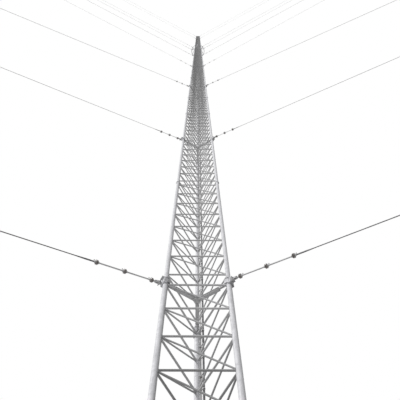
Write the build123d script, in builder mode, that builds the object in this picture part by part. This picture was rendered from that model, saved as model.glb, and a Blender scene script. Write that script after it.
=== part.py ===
"""Guyed radio mast with a constant triangular section, as a 1:10 scale model.

Millimetres, +Z up. The origin is at ground level on the mast's axis, in the middle of the
underside of the foundation pier. One flat side of the mast faces -Y, and the third leg is at +Y.
"""
import os
from math import atan2, cos, degrees, radians, sin, sqrt

from build123d import *

# ---- driving dimensions ------------------------------------------------------------------------
face_width = 148.3          # between leg centres
bay = 121.92                # height of one braced bay
bays_per_section = 7
joint_gap = 0.5 * bay       # unbraced gap across each bolted leg joint
section_count = 29
first_joint = 592.0         # height of the joint above the tapered foot section

leg_sides = 12
bar_sides = 6
flange_ratio = 1.36         # leg flange across flats, as a share of the leg
flange_thick = 1.7

# stage name: first joint, last joint, leg, horizontal and diagonal across flats
stages = {
    "stage_1": (0, 1, 12.6, 4.8, 3.9),
    "stage_2": (1, 6, 11.2, 4.3, 3.5),
    "stage_3": (6, 12, 10.8, 4.1, 3.4),
    "stage_4": (12, 22, 10.2, 3.9, 3.2),
    "stage_5": (22, 29, 9.6, 3.7, 3.0),
}
faces = {"front": 0, "right": 120, "left": 240}     # turn of each flat side about the axis

# guy level: joint, anchor ring, half angle between a pair of guys on the torque frame
guy_levels = {
    1: (1, "inner", 0),
    2: (3, "middle", 0),
    3: (6, "middle", 0),
    4: (9, "outer", 0),
    5: (12, "outer", 0),
    6: (15, "outer", 10),
    7: (25, "outer", 0),
    8: (29, "outer", 0),
}
# guy level: guy diameter and spacing of the insulators
guy_sizes = {
    1: (2.4, 71.0),
    2: (1.6, 55.0),
    3: (2.0, 84.0),
    4: (1.4, 84.0),
    5: (2.4, 84.0),
    6: (2.0, 84.0),
    7: (2.0, 84.0),
    8: (2.2, 84.0),
}
# anchor ring: radius from the axis, turn out of line with the legs, block width and height
anchor_rings = {
    "inner": (4040.0, -1.65, 70.0, 26.0),
    "middle": (4910.0, -1.03, 80.0, 28.0),
    "outer": (13380.0, -0.76, 150.0, 36.0),
}

# star frame that ties the three legs together at each guy level
arm_width = 8.0
arm_depth = 10.0
arm_drop = 22.4             # centre of the star, below the joint
arm_neck = 16.0             # narrower end of an arm, against the collar
arm_neck_width = 5.0
arm_neck_side = -1.5        # off the arm's centre line
hub_radius = 15.0
hub_plate = 2.0

collar_ratio = 0.7          # half the width of the square collar, as a share of the leg
collar_drop = 8.4           # top of the collar, below the joint
collar_height = 19.2
skirt_height = 6.4          # its outer half goes on down past the horizontals' ends
ear_reach = 14.0            # plate over the outer side of the collar, from the leg's centre
ear_side = -3.0             # and from one side of it to the collar's edge
ear_plate = 1.6
lug_reach = 14.0            # from the leg's centre out to the guy's pin
lug_side = -5.3             # and off to one side of the leg's centre
pin_drop = 21.6             # and below the joint
lug_thick = 3.0
lug_round = 6.0

torque_radius = 139.0
torque_turn = -5.0          # middle of a pair of guys, out of line with its leg
torque_tube = 11.0
torque_sides = 24
torque_lug_reach = 15.0

link_ratio = 1.42           # links between insulators, as a share of the guy
yoke_back = 3.2             # yoke cheeks behind and beyond the pin
yoke_front = 12.0
yoke_block = 3.5
yoke_plate = 1.5
yoke_height = 9.0
pin_diameter = 2.6
pin_length = 17.0
insulator_count = 3
first_insulator = 21.0      # from the guy's pin to the middle of the first insulator
insulator_length = 12.0
insulator_diameter = 12.0
insulator_disc = 5.0        # length of the wide part
insulator_neck = 6.6
turnbuckle_length = 70.0
turnbuckle_diameter = 7.0
jaw_length = 20.0
jaw_back = 6.0
jaw_plate = 2.0
jaw_height = 9.0
anchor_spacing = 24.0       # between the guys' pins on an anchor plate
anchor_plate_thick = 8.0
anchor_clearance = 24.0     # lowest pin above the block's top
anchor_edge = 7.0           # plate beyond the pins, towards the mast

conduit_diameter = 4.6
conduit_offset = 16.5       # from the rear leg's centre
conduit_turn = -30          # direction of the conduit from the rear leg
conduit_clearance = 30.0    # end of the conduit above the foot plate
bracket_width = 3.0
bracket_thick = 2.0

pier_width = 170.0
pier_height = 40.0
bearing_plate_width = 84.0
bearing_plate_thick = 6.0
base_insulator_height = 44.0
base_insulator_radius = 24.0
cap_thick = 8.0
pivot_height = 9.0
foot_plate_thick = 6.0
foot_radius = 27.0          # leg centres from the axis at the foot of the tapered section
foot_bays = 4

top_plate_thick = 5.0
beacon_radius = 11.0

# ---- derived places ----------------------------------------------------------------------------
section_length = bays_per_section * bay + joint_gap
leg_radius = face_width / sqrt(3)       # of the three leg centres about the axis
leg_angles = {"left": 210, "right": 330, "rear": 90}


def joint_height(index):
    return first_joint + index * section_length


def around(radius, angle, z=0.0):
    """The point at a radius and an angle about the mast's axis."""
    return Vector(radius * cos(radians(angle)), radius * sin(radians(angle)), z)


def leg_centres(radius=leg_radius):
    return [around(radius, angle) for angle in leg_angles.values()]


def leg_width_at(joint):
    """The leg across flats at a joint, taken from the stage below it."""
    return next(leg for first, last, leg, *_ in stages.values() if first < joint <= last)


def save(part, name):
    part.label = name
    export_step(part, f"parts/{name}.step")


os.makedirs("parts", exist_ok=True)


# ---- mast: legs and bracing --------------------------------------------------------------------
def build_legs(first, last, leg):
    """Three legs between two joints, each with its welded flanges."""
    with BuildPart() as legs:
        with BuildSketch(Plane.XY.offset(joint_height(first))):
            with Locations(*leg_centres()):
                RegularPolygon(leg / 2, leg_sides, major_radius=False, rotation=15)
        extrude(amount=(last - first) * section_length)
        for joint in range(first, last + 1):
            low = joint_height(joint) - (flange_thick if joint > first else 0)
            high = joint_height(joint) + (flange_thick if joint < last else 0)
            with BuildSketch(Plane.XY.offset(low)):
                with Locations(*leg_centres()):
                    RegularPolygon(flange_ratio * leg / 2, leg_sides, major_radius=False, rotation=15)
            extrude(amount=high - low)
    return legs.part


def face_plane(turn, leg):
    """The plane on the side of a face's first leg, looking towards its second leg."""
    start = around(leg_radius, leg_angles["left"] + turn) + around(leg / 2, turn)
    return Plane(origin=start, x_dir=around(1, turn + 90), z_dir=around(1, turn))


def section_levels(first, last):
    """Heights of the horizontals in each section, from the lowest up."""
    return [[joint_height(section) + joint_gap / 2 + step * bay for step in range(bays_per_section + 1)]
            for section in range(first, last)]


def build_bracing(turn, first, last, leg, horizontal, diagonal):
    """The bars of one flat side: a horizontal at each level and a diagonal in each bay."""
    span = face_width - leg
    inset = max(leg / 2 * bay / face_width, (horizontal + 1.3 * diagonal) / 2 + 0.3)
    drop = bay - 2 * inset
    slope = Vector(*(around(span, turn) - Vector(0, 0, drop)))
    stretch = slope.length / span
    plane = face_plane(turn, leg)
    levels = section_levels(first, last)
    with BuildPart() as bars:
        with BuildSketch(plane):
            with Locations(*[(0, z) for section in levels for z in section]):
                RegularPolygon(horizontal / 2, bar_sides, major_radius=False)
        extrude(amount=span)
        outline = [(diagonal / sqrt(3) * cos(radians(60 * corner)),
                    stretch * diagonal / sqrt(3) * sin(radians(60 * corner))) for corner in range(bar_sides)]
        with BuildSketch(plane):
            with Locations(*[(0, z - inset) for section in levels for z in section[1:]]):
                Polygon(*outline, align=None)
        extrude(amount=slope.length, dir=slope.normalized())
    return bars.part


for stage, (first, last, leg, horizontal, diagonal) in stages.items():
    save(build_legs(first, last, leg), f"{stage}_legs")
    for face, turn in faces.items():
        save(build_bracing(turn, first, last, leg, horizontal, diagonal), f"{stage}_{face}_bracing")


# ---- foot: pier, insulator, pivot and tapered section ------------------------------------------
plate_bottom = pier_height
insulator_bottom = plate_bottom + bearing_plate_thick
cap_bottom = insulator_bottom + base_insulator_height
pivot_bottom = cap_bottom + cap_thick
foot_plate_bottom = pivot_bottom + pivot_height
foot_bottom = foot_plate_bottom + foot_plate_thick

with BuildPart() as foundation_pier:
    with BuildSketch():
        RegularPolygon(pier_width / 2, 8, major_radius=False)
    extrude(amount=pier_height)
    chamfer(foundation_pier.edges().group_by(Axis.Z)[-1], 5)
save(foundation_pier.part, "foundation_pier")

with BuildPart() as bearing_plate:
    with BuildSketch(Plane.XY.offset(plate_bottom)):
        Circle(bearing_plate_width / 2)
    extrude(amount=bearing_plate_thick)
save(bearing_plate.part, "bearing_plate")

with BuildPart() as base_insulator:
    with BuildSketch(Plane.XZ):
        with BuildLine():
            Polyline((0, insulator_bottom), (base_insulator_radius, insulator_bottom))
            Line((base_insulator_radius, insulator_bottom), (base_insulator_radius, insulator_bottom + 6))
            ThreePointArc((base_insulator_radius, insulator_bottom + 6),
                          (0.72 * base_insulator_radius, insulator_bottom + base_insulator_height / 2),
                          (base_insulator_radius, cap_bottom - 6))
            Line((base_insulator_radius, cap_bottom - 6), (base_insulator_radius, cap_bottom))
            Polyline((base_insulator_radius, cap_bottom), (0, cap_bottom), (0, insulator_bottom))
        make_face()
    revolve(axis=Axis.Z)
save(base_insulator.part, "base_insulator")

with BuildPart() as base_pivot:
    with BuildSketch(Plane.XY.offset(cap_bottom)):
        Circle(base_insulator_radius + 5)
    extrude(amount=cap_thick)
    with BuildSketch(Plane.XY.offset(pivot_bottom)):
        Circle(11)
    extrude(amount=pivot_height)
save(base_pivot.part, "base_pivot")

stage_1_leg = stages["stage_1"][2]
foot_height = first_joint - foot_bottom

with BuildPart() as foot_plate:
    with BuildSketch(Plane.XY.offset(foot_plate_bottom)):
        Circle(foot_radius + stage_1_leg)
    extrude(amount=foot_plate_thick)
save(foot_plate.part, "foot_plate")


def foot_leg_centre(angle, z):
    """The centre of a tapered leg at a height."""
    return around(foot_radius + (leg_radius - foot_radius) * (z - foot_bottom) / foot_height, angle, z)


with BuildPart() as foot_legs:
    for angle in leg_angles.values():
        low = foot_leg_centre(angle, foot_bottom)
        rise = foot_leg_centre(angle, first_joint) - low
        with BuildSketch(Plane.XY.offset(foot_bottom)):
            with Locations((low.X, low.Y)):
                RegularPolygon(stage_1_leg / 2, leg_sides, major_radius=False, rotation=15)
        extrude(amount=rise.length, dir=rise.normalized())
    with BuildSketch(Plane.XY.offset(first_joint - flange_thick)):
        with Locations(*leg_centres()):
            RegularPolygon(flange_ratio * stage_1_leg / 2, leg_sides, major_radius=False, rotation=15)
    extrude(amount=flange_thick)
save(foot_legs.part, "foot_legs")


def bar(start, end, width):
    """A six-sided bar between two points."""
    run = end - start
    with BuildSketch(Plane(origin=start, z_dir=run)) as outline:
        RegularPolygon(width / 2, bar_sides, major_radius=False)
    extrude(outline.sketch, amount=run.length)


foot_bay = (foot_height - 40) / foot_bays
with BuildPart() as foot_bracing:
    for turn in faces.values():
        for step in range(foot_bays + 1):
            z = first_joint - joint_gap / 2 - step * foot_bay
            left, right = (foot_leg_centre(leg_angles[leg] + turn, z) for leg in ("left", "right"))
            if step < foot_bays:
                low = foot_leg_centre(leg_angles["right"] + turn, z - foot_bay)
                lift = Vector(0, 0, 0.05 * foot_bay)
                bar(left - lift, low + lift, stages["stage_1"][4])
            bar(left, right, stages["stage_1"][3])
    add(foot_legs.part, mode=Mode.SUBTRACT)
save(foot_bracing.part, "foot_bracing")


# ---- guy levels: collars, star frames and torque frame -----------------------------------------
def star_height(joint):
    return joint_height(joint) - arm_drop


def lug(centre, angle, low, high):
    """An upright plate with a round end that reaches out to a guy's pin."""
    with BuildSketch(Plane(origin=centre, x_dir=around(1, angle), z_dir=around(1, angle - 90))) as outline:
        with Locations(((low + high) / 2, 0)):
            Rectangle(high - low, 2 * lug_round)
        with Locations((high, 0)):
            Circle(lug_round)
    extrude(outline.sketch, amount=lug_thick / 2, both=True)


with BuildPart() as guy_collars:
    for joint, ring, half_angle in guy_levels.values():
        leg = leg_width_at(joint)
        half = collar_ratio * leg
        top = joint_height(joint) - collar_drop
        bottom = top - collar_height
        for low, high, inner, outer, side in ((bottom, top, -half, half, -half),
                                              (bottom - skirt_height, bottom, 0, half, -half),
                                              (top - ear_plate, top, 0, ear_reach, ear_side)):
            with BuildSketch(Plane.XY.offset(low)):
                for angle in leg_angles.values():
                    middle = around(leg_radius + (inner + outer) / 2, angle)
                    middle += around((side + half) / 2, angle + 90)
                    with Locations(Location(middle, angle)):
                        Rectangle(outer - inner, half - side)
                with Locations(*leg_centres()):
                    RegularPolygon(leg / 2, leg_sides, major_radius=False, rotation=15, mode=Mode.SUBTRACT)
            extrude(amount=high - low)
        if not half_angle:
            turn = anchor_rings[ring][1]
            for angle in leg_angles.values():
                centre = around(leg_radius, angle, joint_height(joint) - pin_drop)
                centre += around(lug_side, angle + turn + 90)
                lug(centre, angle + turn, 0.45 * leg, lug_reach)
save(guy_collars.part, "guy_collars")

with BuildPart() as star_frames:
    for joint, ring, half_angle in guy_levels.values():
        middle = star_height(joint)
        reach = leg_radius - collar_ratio * leg_width_at(joint)
        tube = reach - arm_neck
        with BuildSketch(Plane.XY.offset(middle - arm_depth / 2)):
            for angle in leg_angles.values():
                with Locations(Location(around(tube / 2, angle), angle)):
                    Rectangle(tube, arm_width)
                neck = around(tube + arm_neck / 2, angle) + around(arm_neck_side, angle + 90)
                with Locations(Location(neck, angle)):
                    Rectangle(arm_neck, arm_neck_width)
        extrude(amount=arm_depth)
        with BuildSketch(Plane.XY.offset(middle - arm_depth / 2 - hub_plate)):
            RegularPolygon(hub_radius, 3, rotation=90)
        extrude(amount=hub_plate)
save(star_frames.part, "star_frames")

torque_joint, torque_ring, torque_half_angle = guy_levels[6]
with BuildPart() as torque_frame:
    collar = 2 * collar_ratio * leg_width_at(torque_joint)
    with BuildSketch(Plane.XY.offset(star_height(torque_joint) - torque_tube / 2)):
        RegularPolygon(torque_radius + torque_tube / 2, torque_sides, rotation=7.5)
        RegularPolygon(torque_radius - torque_tube / 2, torque_sides, rotation=7.5, mode=Mode.SUBTRACT)
        for angle in leg_angles.values():
            leg_centre = around(leg_radius, angle)
            for side in (-1, 1):
                outer = around(torque_radius, angle + torque_turn + side * torque_half_angle)
                run = outer - leg_centre
                with Locations(Location((leg_centre + outer) / 2, degrees(atan2(run.Y, run.X)))):
                    Rectangle(run.length, torque_tube)
            for side in (-1, 1):
                outer = around(torque_radius, angle + side * 60)
                run = outer - leg_centre
                with Locations(Location((leg_centre + outer) / 2, degrees(atan2(run.Y, run.X)))):
                    Rectangle(run.length, 0.7 * torque_tube)
        for angle in leg_angles.values():
            with Locations(Location(around(leg_radius, angle), angle)):
                Rectangle(collar, collar, mode=Mode.SUBTRACT)
    extrude(amount=torque_tube)
    for angle in leg_angles.values():
        for side in (-1, 1):
            lug(around(0, angle, star_height(torque_joint)), angle + torque_turn + side * torque_half_angle,
                torque_radius, torque_radius + torque_lug_reach)
save(torque_frame.part, "torque_frame")


# ---- guys --------------------------------------------------------------------------------------
def ring_pins(ring):
    """The level and side of each guy that comes down to an anchor ring, from the lowest up."""
    return [(level, side) for level, (_, name, half_angle) in guy_levels.items() if name == ring
            for side in ((-1, 1) if half_angle else (0,))]


def anchor_frame(ring):
    """An anchor plate's slope, in radians, and the height of its middle pin."""
    heights = [star_height(guy_levels[level][0]) for level, _ in ring_pins(ring)]
    slope = atan2(sum(heights) / len(heights), anchor_rings[ring][0])
    reach = (len(heights) - 1) / 2 * anchor_spacing
    return slope, anchor_rings[ring][3] + anchor_clearance + reach * cos(slope)


def guy_lines(level):
    """The top pin and the anchor pin of each guy at a level."""
    joint, ring, half_angle = guy_levels[level]
    radius, turn, _, _ = anchor_rings[ring]
    slope, middle_height = anchor_frame(ring)
    pins = ring_pins(ring)
    lines = []
    for angle in leg_angles.values():
        for side in ((-1, 1) if half_angle else (0,)):
            step = (pins.index((level, side)) - (len(pins) - 1) / 2) * anchor_spacing
            end = around(radius + step * sin(slope), angle + turn, middle_height + step * cos(slope))
            if half_angle:
                start = around(torque_radius + torque_lug_reach, angle + torque_turn + side * half_angle,
                               star_height(joint))
            else:
                start = around(leg_radius, angle, joint_height(joint) - pin_drop)
                start += around(lug_reach, angle + turn) + around(lug_side, angle + turn + 90)
            lines.append((start, end))
    return lines


def all_guy_lines():
    return [line for level in guy_levels for line in guy_lines(level)]


def along(start, end, distance):
    """A plane across a guy, at a distance down it, with its x axis level."""
    run = (end - start).normalized()
    return Plane(origin=start + run * distance, x_dir=Vector(0, 0, 1).cross(run), z_dir=run)


def rod(start, end, low, high, width):
    """A round rod along a guy between two distances down it."""
    with BuildSketch(along(start, end, low)) as outline:
        Circle(width / 2)
    extrude(outline.sketch, amount=high - low)


def block(start, end, low, high, offset, width, height):
    """A square-cornered block along a guy, set off to one side of it."""
    with BuildSketch(along(start, end, low)) as outline:
        with Locations((offset, 0)):
            Rectangle(width, height)
    extrude(outline.sketch, amount=high - low)


def insulator_middles(level):
    """Distances of a guy's insulators from its pin."""
    return [first_insulator + step * guy_sizes[level][1] for step in range(insulator_count)]


half_insulator = insulator_length / 2
for level in guy_levels:
    with BuildPart() as guys:
        for start, end in guy_lines(level):
            diameter = guy_sizes[level][0]
            low = yoke_front
            for middle in insulator_middles(level):
                rod(start, end, low, middle - half_insulator, link_ratio * diameter)
                low = middle + half_insulator
            rod(start, end, low, (end - start).length - turnbuckle_length, diameter)
    save(guys.part, f"guys_level_{level}")


def build_insulators(levels):
    """Strain insulators: a disc of porcelain with a neck at each end."""
    with BuildPart() as insulators:
        for level in levels:
            for start, end in guy_lines(level):
                for middle in insulator_middles(level):
                    rod(start, end, middle - half_insulator, middle + half_insulator, insulator_neck)
                    rod(start, end, middle - insulator_disc / 2, middle + insulator_disc / 2,
                        insulator_diameter)
    return insulators.part


save(build_insulators((1, 2, 3)), "guy_insulators_lower")
save(build_insulators((4, 5, 6, 7, 8)), "guy_insulators_upper")

with BuildPart() as guy_yokes:
    cheek = (lug_thick + yoke_plate) / 2
    for start, end in all_guy_lines():
        for side in (-1, 1):
            block(start, end, -yoke_back, yoke_front, side * cheek, yoke_plate, yoke_height)
        block(start, end, yoke_front - yoke_block, yoke_front, 0, lug_thick + 2 * yoke_plate, yoke_height)
        level_axis = along(start, end, 0).x_dir
        for side in (-1, 1):
            outward = level_axis * side
            with BuildSketch(Plane(origin=start + outward * (cheek + yoke_plate / 2), z_dir=outward)):
                Circle(pin_diameter / 2)
            extrude(amount=(pin_length - lug_thick) / 2 - yoke_plate)
save(guy_yokes.part, "guy_yokes")

with BuildPart() as turnbuckles:
    for start, end in all_guy_lines():
        length = (end - start).length
        low = length - turnbuckle_length
        body_end = length - jaw_length
        rod(start, end, low, low + 12, 0.55 * turnbuckle_diameter)
        rod(start, end, low + 12, body_end - 8, turnbuckle_diameter)
        rod(start, end, body_end - 8, body_end, 0.55 * turnbuckle_diameter)
        cheek = (anchor_plate_thick + jaw_plate) / 2
        block(start, end, body_end, body_end + 6, 0, anchor_plate_thick + 2 * jaw_plate, jaw_height)
        for side in (-1, 1):
            block(start, end, body_end, length + jaw_back, side * cheek, jaw_plate, jaw_height)
save(turnbuckles.part, "turnbuckles")

with BuildPart() as anchor_blocks:
    for radius, turn, width, height in anchor_rings.values():
        with BuildSketch():
            for angle in leg_angles.values():
                with Locations(Location(around(radius, angle + turn), angle + turn)):
                    Rectangle(width, 0.8 * width)
        extrude(amount=height)
save(anchor_blocks.part, "anchor_blocks")

with BuildPart() as anchor_plates:
    for ring, (radius, turn, width, height) in anchor_rings.items():
        slope, middle_height = anchor_frame(ring)
        towards_mast = Vector(-cos(slope), sin(slope)) * anchor_edge
        upper = Vector(sin(slope), cos(slope)) * (len(ring_pins(ring)) / 2 * anchor_spacing)
        middle = Vector(0, middle_height - height)
        corners = [Vector(-0.25 * width, 0), Vector(0.3 * width, 0), middle + upper - towards_mast,
                   middle + upper + towards_mast, middle - upper + towards_mast]
        for angle in leg_angles.values():
            upright = Plane(origin=around(radius, angle + turn, height), x_dir=around(1, angle + turn),
                            z_dir=around(1, angle + turn - 90))
            with BuildSketch(upright):
                Polygon(*[(corner.X, corner.Y) for corner in corners], align=None)
            extrude(amount=anchor_plate_thick / 2, both=True)
save(anchor_plates.part, "anchor_plates")


# ---- conduit on the rear leg -------------------------------------------------------------------
mast_top = joint_height(section_count)
rear_leg = around(leg_radius, leg_angles["rear"])
conduit_centre = rear_leg + around(conduit_offset, conduit_turn)

foot_drop = foot_leg_centre(leg_angles["rear"], foot_bottom + conduit_clearance) - rear_leg
foot_drop -= Vector(0, 0, first_joint)
with BuildPart() as conduit:
    with BuildSketch(Plane.XY.offset(first_joint)) as conduit_outline:
        with Locations((conduit_centre.X, conduit_centre.Y)):
            RegularPolygon(conduit_diameter / 2, leg_sides, major_radius=False, rotation=15)
    extrude(amount=mast_top - first_joint)
    extrude(conduit_outline.sketch, amount=foot_drop.length, dir=foot_drop.normalized())
save(conduit.part, "conduit")

with BuildPart() as conduit_brackets:
    for step in range(foot_bays):
        z = first_joint - joint_gap / 2 - (step + 0.5) * foot_bay
        centre = foot_leg_centre(leg_angles["rear"], z)
        with BuildSketch(Plane(origin=centre + around(stage_1_leg / 2 + 0.2, conduit_turn),
                               x_dir=around(1, conduit_turn + 90), z_dir=around(1, conduit_turn))):
            Rectangle(bracket_thick, bracket_width)
        extrude(amount=conduit_offset - (stage_1_leg + conduit_diameter) / 2 - 0.4)
    for first, last, leg, _, _ in stages.values():
        reach = conduit_offset - (leg + conduit_diameter) / 2
        bracket_plane = Plane(origin=rear_leg + around(leg / 2, conduit_turn),
                              x_dir=around(1, conduit_turn + 90), z_dir=around(1, conduit_turn))
        with BuildSketch(bracket_plane):
            with Locations(*[(0, z + bay / 2) for section in section_levels(first, last)
                             for z in section[:-1]]):
                Rectangle(bracket_thick, bracket_width)
        extrude(amount=reach)
save(conduit_brackets.part, "conduit_brackets")


# ---- top ---------------------------------------------------------------------------------------
with BuildPart() as top_plate:
    with BuildSketch(Plane.XY.offset(mast_top)):
        RegularPolygon(leg_radius + 16, 3, rotation=90)
        chamfer(vertices(), 12)
    extrude(amount=top_plate_thick)
save(top_plate.part, "top_plate")

with BuildPart() as beacon:
    with BuildSketch(Plane.XY.offset(mast_top + top_plate_thick)):
        Circle(beacon_radius)
    extrude(amount=8)
    with BuildSketch(Plane.XY.offset(mast_top + top_plate_thick + 8)):
        Circle(0.85 * beacon_radius)
    extrude(amount=18)
    fillet(beacon.edges().group_by(Axis.Z)[-1], 5)
save(beacon.part, "beacon")
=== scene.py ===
from math import cos, pi, radians, sin, sqrt

import bmesh
import bpy
from mathutils import Matrix, Vector


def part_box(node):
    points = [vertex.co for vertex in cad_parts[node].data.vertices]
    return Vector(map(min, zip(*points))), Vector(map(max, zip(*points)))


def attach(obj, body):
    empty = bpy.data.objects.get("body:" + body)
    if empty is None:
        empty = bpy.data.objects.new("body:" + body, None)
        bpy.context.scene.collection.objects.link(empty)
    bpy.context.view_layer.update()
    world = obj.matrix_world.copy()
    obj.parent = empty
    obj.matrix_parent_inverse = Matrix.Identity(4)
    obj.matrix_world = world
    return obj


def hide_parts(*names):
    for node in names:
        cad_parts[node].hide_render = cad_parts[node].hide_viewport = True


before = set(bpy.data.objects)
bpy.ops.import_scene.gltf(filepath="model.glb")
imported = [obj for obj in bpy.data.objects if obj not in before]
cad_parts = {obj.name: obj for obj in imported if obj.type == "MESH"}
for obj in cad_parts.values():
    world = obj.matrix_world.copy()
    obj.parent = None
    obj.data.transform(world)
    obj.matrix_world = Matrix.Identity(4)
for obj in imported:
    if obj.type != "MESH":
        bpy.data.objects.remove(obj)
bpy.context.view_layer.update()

# ---- driving dimensions, in metres -----------------------------------------
face_width = 0.1483             # between leg centres
bay = 0.12192                   # between the level bars of a section
bays_per_section = 7
joint_gap = bay / 2
section_length = bays_per_section * bay + joint_gap
leg_radius = face_width / sqrt(3)       # of the leg centres about the mast's axis
leg_angles = (210, 330, 90)
left_angle, right_angle, rear_angle = leg_angles
face_turns = {"front": 0, "right": 120, "left": 240}

flange_ratio = 1.36             # of a flange to its leg
flange_thick = 0.0017
# stage: leg, horizontal and diagonal diameters
stages = {
    "stage_1": (0.0126, 0.0048, 0.0039),
    "stage_2": (0.0112, 0.0043, 0.0035),
    "stage_3": (0.0108, 0.0041, 0.0034),
    "stage_4": (0.0102, 0.0039, 0.0032),
    "stage_5": (0.0096, 0.0037, 0.0030),
}
# guy level: joint above the foot section, anchor ring, half angle between paired guys
guy_levels = {
    1: (1, "inner", 0),
    2: (3, "middle", 0),
    3: (6, "middle", 0),
    4: (9, "outer", 0),
    5: (12, "outer", 0),
    6: (15, "outer", 10),
    7: (25, "outer", 0),
    8: (29, "outer", 0),
}
# guy level: guy diameter and spacing of the insulators
guy_sizes = {
    1: (0.0024, 0.071),
    2: (0.0016, 0.055),
    3: (0.0020, 0.084),
    4: (0.0014, 0.084),
    5: (0.0024, 0.084),
    6: (0.0020, 0.084),
    7: (0.0020, 0.084),
    8: (0.0022, 0.084),
}
# anchor ring: radius, turn out of line with the legs, block width and height
anchor_rings = {
    "inner": (4.040, -1.65, 0.070, 0.026),
    "middle": (4.910, -1.03, 0.080, 0.028),
    "outer": (13.380, -0.76, 0.150, 0.036),
}
arm_width, arm_depth = 0.008, 0.010
arm_drop = 0.0224               # of a star frame below its joint
arm_neck, arm_neck_width, arm_neck_side = 0.016, 0.005, -0.0015
hub_radius, hub_plate = 0.015, 0.002
collar_ratio = 0.7              # of half a collar's width to its leg
collar_drop, collar_height = 0.0084, 0.0192
skirt_height = 0.0064
ear_reach, ear_side, ear_plate = 0.014, -0.003, 0.0016
lug_reach, lug_side, pin_drop = 0.014, -0.0053, 0.0216
lug_thick, lug_round = 0.003, 0.006
torque_radius, torque_tube, torque_sides = 0.139, 0.011, 24
torque_turn = -5                # of the outriggers out of line with the legs
torque_first_corner = 7.5
torque_strut_turn, torque_strut_ratio = 60, 0.7
torque_lug_reach = 0.015

link_ratio = 1.42               # of the rods between insulators to their guy
yoke_back, yoke_front, yoke_block = 0.0032, 0.012, 0.0035
yoke_plate = 0.0015
pin_diameter, jaw_pin_diameter, pin_length = 0.0026, 0.0038, 0.017
insulator_count, insulator_length = 3, 0.012
first_insulator = 0.021         # its middle, down the guy from its pin
last_lower_level = 3            # of the guys with brown insulators
grip_length = 0.045
turnbuckle_length = 0.070
jaw_plate, jaw_low, jaw_high = 0.002, 0.050, 0.076
anchor_spacing, anchor_clearance, anchor_edge = 0.024, 0.024, 0.007
anchor_plate_thick = 0.008

conduit_diameter = 0.0046
conduit_offset, conduit_turn = 0.0165, -30      # from the rear leg's centre
conduit_end = 0.030             # above the foot plate

# bolt or nut: width across its flats and height
flange_bolt = (0.0017, 0.0011)
sleeve_bolt = (0.0024, 0.0012)
neck_bolt = (0.0022, 0.0010)
hub_bolt = (0.0020, 0.0010)
pin_nut = (0.0044, 0.0018)
jaw_nut = (0.0056, 0.0016)
anchor_nut = (0.0048, 0.0024)
foot_bolt = (0.0042, 0.0022)

upward, inward = Vector((0, 0, 1)), Vector((0, 1, 0))

first_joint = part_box("stage_1_legs")[0].z       # joint 0, on top of the foot section
mast_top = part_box("stage_5_legs")[1].z


def joint_height(index):
    return first_joint + index * section_length


def star_height(joint):
    return joint_height(joint) - arm_drop


def around(radius, angle, z=0.0):
    """The point at a radius and an angle, in degrees, about the mast's axis."""
    return Vector((radius * cos(radians(angle)), radius * sin(radians(angle)), z))


def stage_joints(stage):
    """The first and last joint of a stage, counted from the foot section."""
    low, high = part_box(f"{stage}_legs")
    return [round((end - first_joint) / section_length) for end in (low.z, high.z)]


def round_extent(node):
    """The radius, bottom and top of a round part."""
    low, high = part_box(node)
    return high.x, low.z, high.z


def leg_width_at(joint):
    """The width of the leg that comes up to a joint."""
    return next(sizes[0] for stage, sizes in stages.items()
                if stage_joints(stage)[0] < joint <= stage_joints(stage)[1])


# ---- finishes --------------------------------------------------------------
class Flow:
    """One output of a node. Sums and products of it add Math nodes."""

    def __init__(self, finish, socket):
        self.finish = finish
        self.socket = socket

    def __add__(self, other):
        return self.finish.math("ADD", self, other)

    def __sub__(self, other):
        return self.finish.math("SUBTRACT", self, other)

    def __mul__(self, other):
        return self.finish.math("MULTIPLY", self, other)

    def __rsub__(self, other):
        return self.finish.math("SUBTRACT", other, self)

    def wave(self):
        """Its sine, spread from 0 to 1."""
        return self.finish.math("SINE", self) * 0.5 + 0.5

    __radd__ = __add__
    __rmul__ = __mul__


class Finish:
    """A node tree with one method that adds any node to it."""

    def __init__(self, tree):
        self.tree = tree

    def feed(self, socket, value):
        if isinstance(value, Flow):
            self.tree.links.new(value.socket, socket)
        elif socket.type == "RGBA":
            socket.default_value = (*value, 1)
        else:
            socket.default_value = value

    def node(self, kind, settings=None, inputs=None, output=0):
        made = self.tree.nodes.new(kind)
        for name, value in (settings or {}).items():
            setattr(made, name, value)
        for key, value in (inputs or {}).items():
            self.feed(made.inputs[key], value)
        return Flow(self, made.outputs[output])

    def math(self, operation, *values):
        return self.node("ShaderNodeMath", {"operation": operation}, dict(enumerate(values)))


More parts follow.
